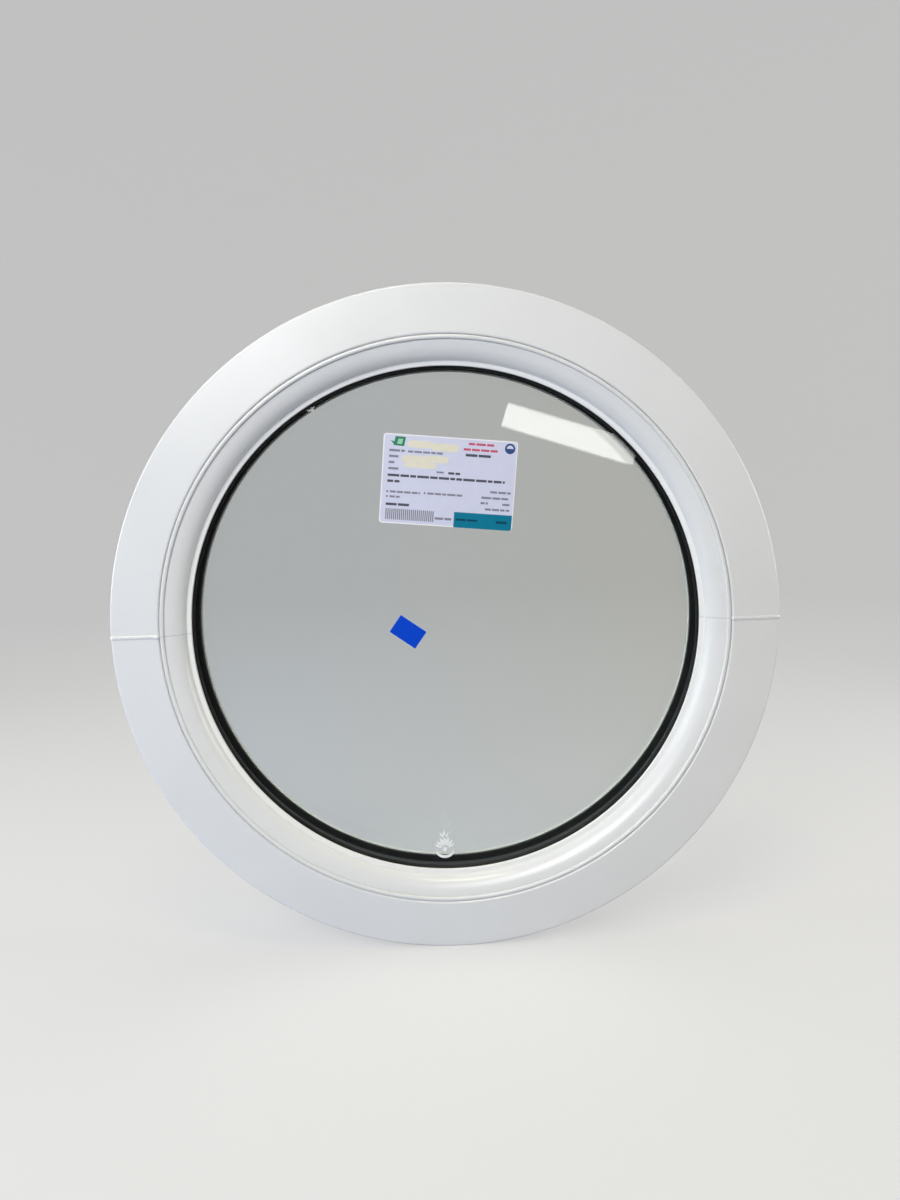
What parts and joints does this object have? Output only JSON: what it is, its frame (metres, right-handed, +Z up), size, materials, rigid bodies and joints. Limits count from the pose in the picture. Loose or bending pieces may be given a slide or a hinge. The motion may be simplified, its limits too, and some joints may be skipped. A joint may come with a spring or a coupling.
{
  "type": "round fixed window",
  "caption": "Round fixed window in a white plastic frame, double glazed, with a moulded glazing bead and black gaskets towards the room.",
  "frame": {"origin": "centre of the round window, at the middle of the frame's depth", "axes": "+Z up as built into a wall, -Y towards the room, +Y towards the weather, +X to the right seen from the room"},
  "size_m": [0.5, 0.0706, 0.5],
  "materials": {
    "white_plastic": "white extruded window plastic, satin to gloss",
    "black_gasket": "matt black extruded gasket",
    "clear_glass": "clear float glass",
    "spacer_foam": "matt black flexible foam spacer",
    "edge_sealant": "dull black edge sealant",
    "packing_block": "moulded plastic packer",
    "label_paper": "white film label with fields of colour",
    "blue_patch": "plain blue film sticker"
  },
  "bodies": {
    "root": {"frame": "white_plastic", "bead_upper_half": "white_plastic", "bead_lower_half": "white_plastic", "bead_gasket": "black_gasket", "frame_gasket": "black_gasket", "room_pane": "clear_glass", "weather_pane": "clear_glass", "spacer": "spacer_foam", "edge_sealant": "edge_sealant", "setting_block_left": "packing_block", "setting_block_right": "packing_block", "location_block_left": "packing_block", "location_block_right": "packing_block", "glass_label": "label_paper", "colour_patch": "blue_patch"}
  },
  "joints": []
}
